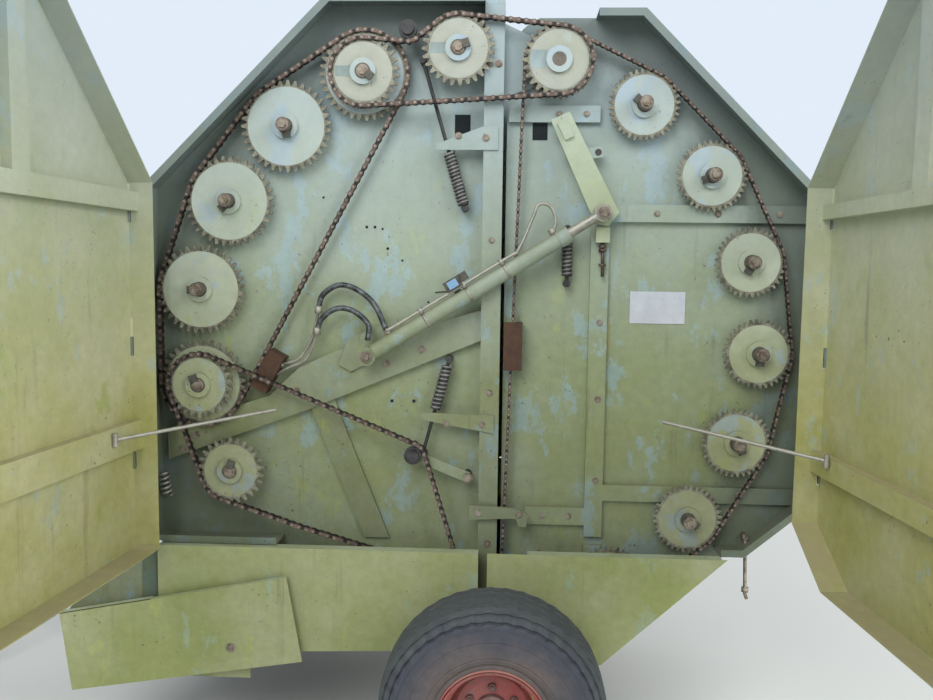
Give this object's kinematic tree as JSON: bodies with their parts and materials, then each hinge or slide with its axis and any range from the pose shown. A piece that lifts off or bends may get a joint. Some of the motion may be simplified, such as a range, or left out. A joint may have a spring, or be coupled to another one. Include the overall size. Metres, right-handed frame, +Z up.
{
  "type": "round baler",
  "caption": "Towed round baler with a fixed chamber of steel rollers, a lifting tailgate, side doors over its chain drives, a pickup and two wheels.",
  "frame": {"origin": "middle of the drawbar eye's bore", "axes": "+X to the rear of the machine, +Y to its right, +Z up"},
  "size_m": [3.7926, 3.0498, 2.6393],
  "materials": {
    "paint": "weathered, faded yellow-green",
    "steel": "worn bright",
    "dark_steel": "greasy, rust-stained",
    "chrome": "polished",
    "tyre": "weathered",
    "rim": "faded red",
    "lamp": "dull",
    "block": "rust brown",
    "frame_dark": "worn"
  },
  "bodies": {
    "root": {"front_wall_left": "paint", "front_wall_right": "paint", "main_frame": "paint", "wall_beams": "paint", "front_sheet": "paint", "skirts_front": "paint", "axle": "frame_dark", "drawbar": "paint", "jack_tube": "steel", "gearbox": "frame_dark", "twine_box": "paint", "front_rollers": "steel", "front_sprockets": "paint", "chain_top": "dark_steel", "chain_front": "dark_steel", "chain_low": "dark_steel", "front_tensioners": "block"},
    "jack": {"jack_leg": "steel"},
    "wheel_left": {"tyre_left": "tyre", "rim_left": "rim"},
    "wheel_right": {"tyre_right": "tyre", "rim_right": "rim"},
    "tailgate": {"tail_wall_left": "paint", "tail_wall_right": "paint", "tail_shell": "paint", "tail_rollers": "steel", "tail_sprockets": "paint", "chain_tail": "dark_steel", "tail_tensioners": "block", "tail_lamps": "lamp", "lever_arms": "paint", "skirts_rear": "paint"},
    "barrel_left": {"barrel_left": "paint"},
    "barrel_right": {"barrel_right": "paint"},
    "rod_left": {"rod_left": "chrome"},
    "rod_right": {"rod_right": "chrome"},
    "door_front_left": {"door_front_left": "paint"},
    "door_rear_left": {"door_rear_left": "paint"},
    "door_front_right": {"door_front_right": "paint"},
    "door_rear_right": {"door_rear_right": "paint"},
    "stay_front_left": {"stay_front_left": "steel"},
    "stay_rear_left": {"stay_rear_left": "steel"},
    "pickup": {"pickup_frame": "paint", "strippers": "steel"},
    "reel": {"reel": "dark_steel"}
  },
  "joints": [
    {"name": "jack_slide", "type": "slide", "parent": "root", "child": "jack", "axis": [0, 0, 1], "range_m": [0, 0.32]},
    {"name": "wheel_left_turn", "type": "hinge", "parent": "root", "child": "wheel_left", "pos_m": [2.642, -0.948, -0.206], "axis": [0, 1, 0], "continuous": true},
    {"name": "wheel_right_turn", "type": "hinge", "parent": "root", "child": "wheel_right", "pos_m": [2.642, 0.948, -0.206], "axis": [0, 1, 0], "continuous": true},
    {"name": "tailgate_lift", "type": "hinge", "parent": "root", "child": "tailgate", "pos_m": [2.82206, 0, 1.82794], "axis": [0, -1, 0], "range_deg": [0, 78]},
    {"name": "barrel_left_swing", "type": "hinge", "parent": "root", "child": "barrel_left", "pos_m": [2.203, -0.692, 0.86], "axis": [0, -1, 0], "range_deg": [0, 10.61]},
    {"name": "rod_left_slide", "type": "slide", "parent": "barrel_left", "child": "rod_left", "axis": [0.8487, 0, 0.5288], "range_m": [0, 0.6131]},
    {"name": "barrel_right_swing", "type": "hinge", "parent": "root", "child": "barrel_right", "pos_m": [2.203, 0.692, 0.86], "axis": [0, -1, 0], "range_deg": [0, 10.61]},
    {"name": "rod_right_slide", "type": "slide", "parent": "barrel_right", "child": "rod_right", "axis": [0.8487, 0, 0.5288], "range_m": [0, 0.6131]},
    {"name": "door_front_left_swing", "type": "hinge", "parent": "root", "child": "door_front_left", "pos_m": [1.454, -0.808, 0.92], "axis": [0, 0, 1], "range_deg": [0, 95.3]},
    {"name": "door_rear_left_swing", "type": "hinge", "parent": "tailgate", "child": "door_rear_left", "pos_m": [3.666, -0.808, 0.92], "axis": [0, 0, -1], "range_deg": [0, 94.1]},
    {"name": "door_front_right_swing", "type": "hinge", "parent": "root", "child": "door_front_right", "pos_m": [1.454, 0.808, 0.92], "axis": [0, 0, 1], "range_deg": [0, 95]},
    {"name": "door_rear_right_swing", "type": "hinge", "parent": "tailgate", "child": "door_rear_right", "pos_m": [3.666, 0.808, 0.92], "axis": [0, 0, -1], "range_deg": [0, 94]},
    {"name": "stay_front_left_fold", "type": "hinge", "parent": "door_front_left", "child": "stay_front_left", "pos_m": [1.48103, -0.9942, 0.62], "axis": [0, 0, -1], "range_deg": [0, 131.1]},
    {"name": "stay_rear_left_fold", "type": "hinge", "parent": "door_rear_left", "child": "stay_rear_left", "pos_m": [3.63171, -0.94764, 0.594], "axis": [0, 0, 1], "range_deg": [0, 124.87]},
    {"name": "pickup_lift", "type": "hinge", "parent": "root", "child": "pickup", "pos_m": [1.88, 0, 0.02], "axis": [0, -1, 0], "range_deg": [-5, 22]},
    {"name": "reel_turn", "type": "hinge", "parent": "pickup", "child": "reel", "pos_m": [1.43, 0, -0.12], "axis": [0, 1, 0], "continuous": true}
  ],
  "couplings": [
    {"joint": "barrel_left_swing", "follows": "tailgate_lift", "ratio": 0.12967},
    {"joint": "barrel_right_swing", "follows": "tailgate_lift", "ratio": 0.12967},
    {"joint": "rod_left_slide", "follows": "tailgate_lift", "m_per_rad": 0.44668},
    {"joint": "rod_right_slide", "follows": "tailgate_lift", "m_per_rad": 0.44668},
    {"joint": "stay_front_left_fold", "follows": "door_front_left_swing", "ratio": 1.3715},
    {"joint": "stay_rear_left_fold", "follows": "door_rear_left_swing", "ratio": 1.3227}
  ]
}
